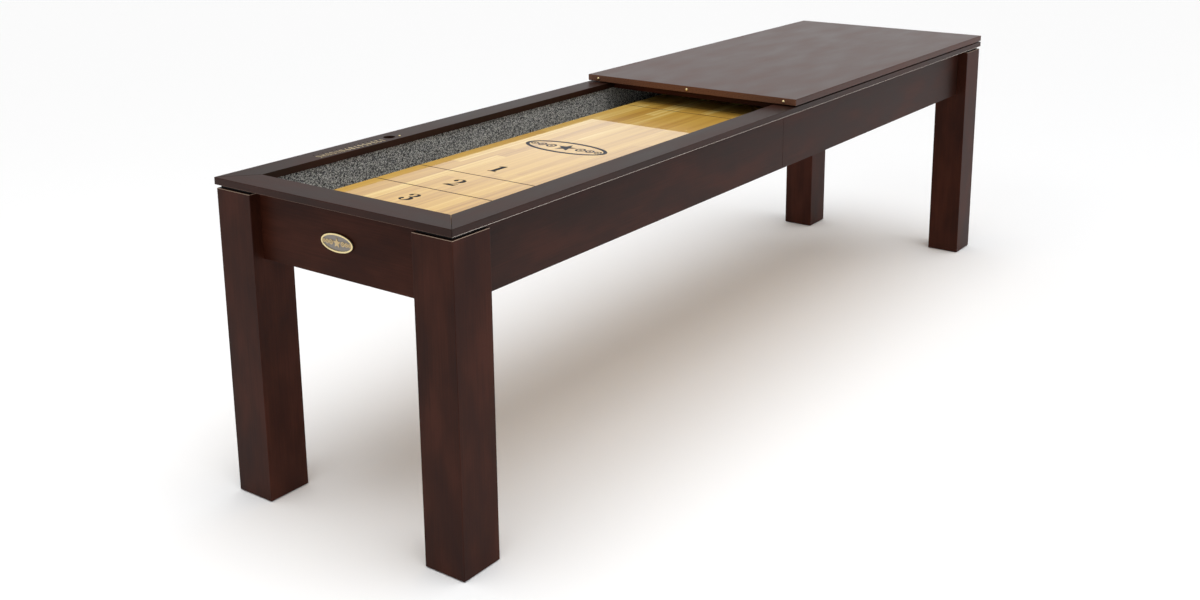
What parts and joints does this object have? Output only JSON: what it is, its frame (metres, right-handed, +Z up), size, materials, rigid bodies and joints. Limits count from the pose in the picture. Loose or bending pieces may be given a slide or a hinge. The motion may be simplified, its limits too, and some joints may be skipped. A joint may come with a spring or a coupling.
{
  "type": "shuffleboard table",
  "caption": "Dark wood shuffleboard table on square legs, with a maple playfield, carpeted gutters, a peg scorer and a lift-off dining panel over the far half.",
  "frame": {"origin": "on the floor under the middle of the table", "axes": "+X along the table from the near end, which has the badge, to the far end under the dining panel; +Y to the left seen from the near end; +Z up"},
  "size_m": [2.744, 0.7, 0.7712],
  "materials": {
    "espresso_wood": "espresso stain under satin lacquer",
    "black_stain": "matt black stain",
    "maple_playfield": "thick clear gloss coat over butcher-block maple",
    "frame_pine": "sawn and sanded, unfinished",
    "gutter_carpet": "grey speckled loop carpet",
    "felt": "pressed felt",
    "brass": "turned and polished",
    "badge_brass": "antique brass with a grey enamel field",
    "black_peg": "moulded, glossy",
    "zinc_steel": "bright zinc plate",
    "foot_nylon": "moulded nylon pad on a threaded stud"
  },
  "bodies": {
    "table": {"badge": "badge_brass", "corner_brace_far_left": "frame_pine", "corner_brace_far_right": "frame_pine", "corner_brace_near_left": "frame_pine", "corner_brace_near_right": "frame_pine", "far_adjuster_bracket_left": "zinc_steel", "far_adjuster_bracket_right": "zinc_steel", "far_cross_rail": "frame_pine", "far_end_apron": "espresso_wood", "far_floor_board": "frame_pine", "far_playfield_bearer": "frame_pine", "far_top_rail": "espresso_wood", "gutter_carpet_far": "gutter_carpet", "gutter_carpet_left": "gutter_carpet", "gutter_carpet_near": "gutter_carpet", "gutter_carpet_right": "gutter_carpet", "left_top_rail": "espresso_wood", "leg_far_left": "espresso_wood", "leg_far_right": "espresso_wood", "leg_near_left": "espresso_wood", "leg_near_right": "espresso_wood", "leg_spacer_far_left": "black_stain", "leg_spacer_far_right": "black_stain", "leg_spacer_near_left": "black_stain", "leg_spacer_near_right": "black_stain", "middle_cross_rail": "frame_pine", "middle_playfield_bearer": "frame_pine", "near_adjuster_bracket_left": "zinc_steel", "near_adjuster_bracket_right": "zinc_steel", "near_cross_rail": "frame_pine", "near_end_apron": "espresso_wood", "near_floor_board": "frame_pine", "near_playfield_bearer": "frame_pine", "near_top_rail": "espresso_wood", "playfield": "maple_playfield", "right_top_rail": "espresso_wood", "side_apron_far_left": "espresso_wood", "side_apron_far_right": "espresso_wood", "side_apron_near_left": "espresso_wood", "side_apron_near_right": "espresso_wood"},
    "dining_top": {"dining_top_panel": "espresso_wood", "near_panel_batten": "espresso_wood", "far_panel_batten": "espresso_wood", "alignment_pin_left": "brass", "alignment_pin_middle": "brass", "alignment_pin_right": "brass", "felt_pad_near_left": "felt", "felt_pad_near_right": "felt", "felt_pad_far_left": "felt", "felt_pad_far_right": "felt"},
    "leveller_near_left": {"leveller_near_left": "foot_nylon"},
    "leveller_near_right": {"leveller_near_right": "foot_nylon"},
    "leveller_far_left": {"leveller_far_left": "foot_nylon"},
    "leveller_far_right": {"leveller_far_right": "foot_nylon"},
    "light_peg": {"light_score_peg": "brass"},
    "dark_peg": {"dark_score_peg": "black_peg"},
    "near_adjuster": {"near_adjuster_rod": "zinc_steel"},
    "far_adjuster": {"far_adjuster_rod": "zinc_steel"}
  },
  "joints": [
    {"name": "dining_top_lift", "type": "slide", "parent": "table", "child": "dining_top", "axis": [0, 0, 1], "range_m": [0, 0.25]},
    {"name": "leveller_near_left_screw", "type": "slide", "parent": "table", "child": "leveller_near_left", "axis": [0, 0, -1], "range_m": [0, 0.015]},
    {"name": "leveller_near_right_screw", "type": "slide", "parent": "table", "child": "leveller_near_right", "axis": [0, 0, -1], "range_m": [0, 0.015]},
    {"name": "leveller_far_left_screw", "type": "slide", "parent": "table", "child": "leveller_far_left", "axis": [0, 0, -1], "range_m": [0, 0.015]},
    {"name": "leveller_far_right_screw", "type": "slide", "parent": "table", "child": "leveller_far_right", "axis": [0, 0, -1], "range_m": [0, 0.015]},
    {"name": "light_peg_lift", "type": "slide", "parent": "table", "child": "light_peg", "axis": [0, 0, 1], "range_m": [0, 0.05]},
    {"name": "dark_peg_lift", "type": "slide", "parent": "table", "child": "dark_peg", "axis": [0, 0, 1], "range_m": [0, 0.05]},
    {"name": "near_adjuster_turn", "type": "hinge", "parent": "table", "child": "near_adjuster", "pos_m": [-0.48, 0, 0.6517], "axis": [0, 1, 0], "range_deg": [-360, 360]},
    {"name": "far_adjuster_turn", "type": "hinge", "parent": "table", "child": "far_adjuster", "pos_m": [0.48, 0, 0.6517], "axis": [0, 1, 0], "range_deg": [-360, 360]}
  ]
}
